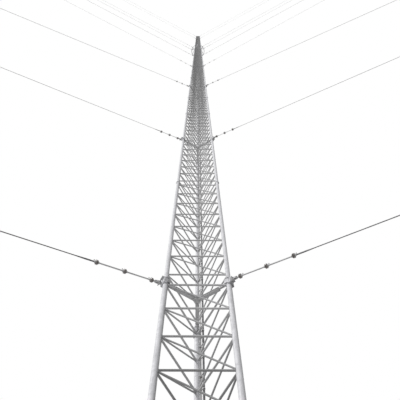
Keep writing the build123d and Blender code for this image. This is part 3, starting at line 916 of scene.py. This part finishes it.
pier = upright_prism(8, pier_half_width / cos(pi / 8), pier_top)
bmesh.ops.rotate(pier, verts=pier.verts, matrix=Matrix.Rotation(pi / 8, 3, "Z"))
top_ring = [edge for edge in pier.edges if min(vert.co.z for vert in edge.verts) > pier_top - 1e-5]
bmesh.ops.bevel(pier, geom=top_ring, offset=0.005, segments=2, affect="EDGES", profile=0.5,
                material=-1)
show("pier_concrete", pier, cast_concrete, "concrete", "foundation_pier", sharp=30)

radius, low, high = round_extent("bearing_plate")
bolt_circle, bolt_seat = radius - 0.006, high
bearing = turned([(0, low), (radius, low), (radius, high - rim), (radius - rim, high), (0, high)],
                 48)
show("bearing_disc", bearing, plate_zinc, fitting, "bearing_plate")

radius, low, high = round_extent("base_insulator")
sheds = 5
end_radius = 0.92 * radius
outline = [(0, low), (end_radius, low), (end_radius, low + 0.004)]
for shed in range(sheds):
    z = low + 0.006 + shed * (high - low - 0.014) / (sheds - 1)
    waist = radius * (0.70 + 0.10 * abs(shed - sheds // 2) / 2)
    outline += [(waist, z - 0.0022), (0.98 * radius, z - 0.0004), (0.99 * radius, z + 0.0006),
                (waist, z + 0.0030)]
outline += [(end_radius, high - 0.0035), (end_radius, high), (0, high)]
show("base_porcelain", turned(outline, 48), pale_porcelain, "porcelain", "base_insulator")

radius, low, high = round_extent("base_pivot")
seat = low + 0.008
saddle = turned([(0, low), (radius - rim, low), (radius, low + rim), (radius, seat - 2 * rim),
                 (radius - 2 * rim, seat), (0.0125, seat), (0.0115, seat + 0.001),
                 (0.011, seat + 0.005), (0.0085, high - rim), (0.006, high), (0, high)], 40)
show("pivot_saddle", saddle, plate_zinc, fitting, "base_pivot")

foot_bolts = bmesh.new()
for step in range(12):
    spot = turn(30 * step + 15)
    put(foot_bolts, hexagon_head(*foot_bolt), spot @ at(bolt_circle, 0, bolt_seat))
    if step % 2:
        put(foot_bolts, hexagon_head(*foot_bolt), spot @ at(radius - 0.0045, 0, seat))

radius, low, high = round_extent("foot_plate")
foot_disc = turned([(0, low), (radius - rim, low), (radius, low + rim), (radius, high - rim),
                    (radius - rim, high), (0, high)], 48)
show("foot_disc", foot_disc, plate_zinc, fitting, "foot_plate")
show("foot_bolts", foot_bolts, bolt_zinc, fitting)


def foot_leg_centre(angle, z):
    """The centre of a tapered leg at a height."""
    share = (z - foot_top) / (first_joint - foot_top)
    return around(foot_radius + (leg_radius - foot_radius) * share, angle, z)


foot_tubes, foot_bars = bmesh.new(), bmesh.new()
tube, flange = foot_leg / 2, flange_ratio * foot_leg / 2
skin = tube - 0.0004            # inside the tube's surface
under = first_joint - flange_thick
collar = turned([(skin, under - 0.0007), (tube + 0.0008, under), (flange, under),
                 (flange, first_joint - 0.0001), (0, first_joint - 0.0001)], 24)
shoe = turned([(skin, foot_top), (tube + 0.003, foot_top), (tube + 0.0005, foot_top + 0.004),
               (skin, foot_top + 0.004)], 20)
for angle in leg_angles:
    low, high = foot_leg_centre(angle, foot_top), foot_leg_centre(angle, first_joint)
    run = (high - low).length - 0.0002
    leg = turned([(0, -0.002), (tube, -0.002), (tube, run), (0, run)], 24)
    bmesh.ops.bisect_plane(leg, geom=leg.verts[:] + leg.edges[:] + leg.faces[:],
                           plane_co=(0, 0, 0.0001), plane_no=upward, clear_inner=True)
    put(foot_tubes, leg, between(low, high, around(1, angle + 90)))
    put(foot_tubes, collar, leg_place(angle))
    put(foot_tubes, shoe, at(low.x, low.y, 0))
show("foot_leg_tubes", foot_tubes, leg_zinc, "galvanised_leg", "foot_legs")

foot_bays = 4
foot_bay = (first_joint - foot_top - 0.040) / foot_bays


def foot_bar(start, end, width):
    """A bar between two points on the legs' centre lines, cut to end inside the legs."""
    run = (end - start).normalized() * foot_leg * 0.46
    start, end = start + run, end - run
    put(foot_bars, welded_bar((end - start).length, width), between(start, end, upward.cross(run)))


for face_turn in face_turns.values():
    for step in range(foot_bays + 1):
        z = first_joint - joint_gap / 2 - step * foot_bay
        left, right = (foot_leg_centre(angle + face_turn, z) for angle in (left_angle, right_angle))
        foot_bar(left, right, foot_level_bar)
        if step < foot_bays:
            lift = 0.05 * foot_bay * upward
            low = foot_leg_centre(right_angle + face_turn, z - foot_bay)
            foot_bar(left - lift, low + lift, foot_sloping_bar)
show("foot_bars", foot_bars, bar_zinc, "galvanised_bar", "foot_bracing")


# ---- conduit ---------------------------------------------------------------
pipe_radius = conduit_diameter / 2
rear_leg = around(leg_radius, rear_angle)
offset = around(conduit_offset, conduit_turn)
bend = rear_leg + offset + first_joint * upward
foot_end = foot_leg_centre(rear_angle, foot_top + conduit_end) + offset

pipe, brackets = bmesh.new(), bmesh.new()
put(pipe, rod(pipe_radius, mast_top - first_joint, 16), Matrix.Translation(bend))
put(pipe, rod(pipe_radius, (bend - foot_end).length, 16), between(foot_end, bend, inward))
coupling = band_round(pipe_radius, 0.0005, 0.006, 0.0004, 16)
for section in range(round((mast_top - first_joint) / section_length)):
    for share in (0.25, 0.58, 0.92):
        put(pipe, coupling, at(bend.x, bend.y, first_joint + (section + share) * section_length))
show("conduit_pipe", pipe, conduit_paint, "conduit_steel", "conduit")

ring = band_round(pipe_radius, 0.0006, 0.0013, 0, 14)
strap_rise, pad_half = 0.0024, 0.0024
clear_of_bars = 0.006
for leg, first, last in ((sizes[0], *stage_joints(stage)) for stage, sizes in stages.items()):
    root = leg / 2 - 0.0004
    low, high = Vector((root, 0, -strap_rise)), Vector((conduit_offset - pipe_radius, 0, 0))
    strap = soft_block((-0.0011, -0.0010, 0), (0.0011, 0.0010, (high - low).length), 0.0003, 1)
    pad = soft_block((root, -0.0020, -strap_rise - pad_half),
                     (leg / 2 + 0.0012, 0.0020, pad_half - strap_rise), 0.0003, 1)
    for section in range(first, last):
        for step in range(2 * bays_per_section):
            z = joint_height(section) + joint_gap / 2 + (step + 1) * bay / 2
            place = at(rear_leg.x, rear_leg.y, z + step % 2 * clear_of_bars) @ turn(conduit_turn)
            put(brackets, strap, place @ between(low, high, inward))
            put(brackets, pad, place)
            put(brackets, ring, place @ at(conduit_offset, 0, 0))
foot_strap = block((foot_leg / 2 - 0.0005, -0.0010, -0.0015),
                   (conduit_offset - pipe_radius + 0.0005, 0.0010, 0.0015))
for step in range(foot_bays):
    centre = foot_leg_centre(rear_angle, first_joint - joint_gap / 2 - (step + 0.5) * foot_bay)
    put(brackets, foot_strap, Matrix.Translation(centre) @ turn(conduit_turn))
show("conduit_clamps", brackets, plate_zinc, fitting, "conduit_brackets")


# ---- top -------------------------------------------------------------------
top_low, top_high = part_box("top_plate")
corner_radius, corner_cut = leg_radius + 0.016, 0.012
corners = []
for angle in leg_angles:
    tip = around(corner_radius, angle)
    corners += [tuple((tip + around(corner_cut, angle + 150 * side)).xy) for side in (-1, 1)]
deck = bmesh.new()
put(deck, softened(plate(corners, top_high.z - top_low.z), 0.0006, 1),
    at(0, 0, (top_low.z + top_high.z) / 2))
show("top_deck", deck, plate_zinc, fitting, "top_plate")

radius, low, high = round_extent("beacon")
lens_radius, lens_low = 0.85 * radius, low + 0.008
lamp_base = turned([(0, low), (radius, low), (radius, low + 0.003), (0.9 * radius, low + 0.004),
                    (0.9 * radius, lens_low), (0, lens_low)], 32)
show("beacon_base", lamp_base, plate_zinc, fitting, "beacon")
lens = turned([(0, lens_low), (lens_radius, lens_low), (lens_radius, high - 0.006),
               (0.9 * lens_radius, high - 0.003), (0.6 * lens_radius, high - 0.0006),
               (0, high)], 32)
show("beacon_lens", lens, red_lens, "beacon_lens", "beacon", sharp=60)


# ---- stage, light and camera -----------------------------------------------
pale_floor = Surface("pale_floor", roughness=0.9)
pale_floor.wear(Base_Color=(0.72, 0.72, 0.72))
floor_shape = bmesh.new()
bmesh.ops.create_grid(floor_shape, x_segments=1, y_segments=1, size=120)
bmesh.ops.translate(floor_shape, verts=floor_shape.verts, vec=(0, 0, -0.001))
floor_mesh = bpy.data.meshes.new("floor")
floor_shape.to_mesh(floor_mesh)
floor_shape.free()
floor_mesh.materials.append(pale_floor.material)
floor = bpy.data.objects.new("floor", floor_mesh)
bpy.context.scene.collection.objects.link(floor)

# The sky is white to look at and in reflections, and lights the mast more softly.
world = bpy.data.worlds.new("pale_sky")
bpy.context.scene.world = world
world.use_nodes = True
sky = Finish(world.node_tree)
camera_ray, glossy_ray, clear_ray = (sky.node("ShaderNodeLightPath", output=f"Is {kind} Ray")
                                     for kind in ("Camera", "Glossy", "Transmission"))
seen = sky.math("MAXIMUM", sky.math("MAXIMUM", camera_ray, glossy_ray), clear_ray)
background = world.node_tree.nodes["Background"]
sky.feed(background.inputs["Color"], (1, 1, 1))
ambient = 0.42
sky.feed(background.inputs["Strength"], seen * (1 - ambient) + ambient)


def sun(name, direction, strength, spread):
    """A distant soft light that shines along a direction."""
    lamp = bpy.data.lights.new(name, "SUN")
    lamp.energy = strength
    lamp.angle = radians(spread)
    made = bpy.data.objects.new(name, lamp)
    made.rotation_mode = "QUATERNION"
    made.rotation_quaternion = Vector(direction).to_track_quat("-Z", "Y")
    bpy.context.scene.collection.objects.link(made)


sun("key_light", (0.75, 0.60, -0.45), 2.4, 14)
sun("fill_light", (-0.7, 0.5, -0.2), 0.12, 40)


def aim(forward, roll):
    """A camera's turn that looks along forward, with its right side level, then rolled."""
    right = forward.cross(upward).normalized()
    up = right.cross(forward)
    rolled_right = right * cos(roll) + up * sin(roll)
    rolled_up = up * cos(roll) - right * sin(roll)
    return Matrix((rolled_right, rolled_up, -forward)).transposed()


eye = Vector((-0.0007, -4.2603 * face_width, 0.1526))
heading, tilt, roll = radians(0.8956), radians(73.8635), radians(-0.64)
camera_data = bpy.data.cameras.new("eye")
camera_data.lens = 55.45
camera_data.sensor_width = 36
camera_data.clip_start = 0.02
camera_data.clip_end = 500
camera = bpy.data.objects.new("eye", camera_data)
look = Vector((sin(heading) * cos(tilt), cos(heading) * cos(tilt), sin(tilt)))
camera.matrix_world = Matrix.Translation(eye) @ aim(look, roll).to_4x4()
bpy.context.scene.collection.objects.link(camera)
bpy.context.scene.camera = camera
bpy.context.scene.view_settings.view_transform = "Standard"
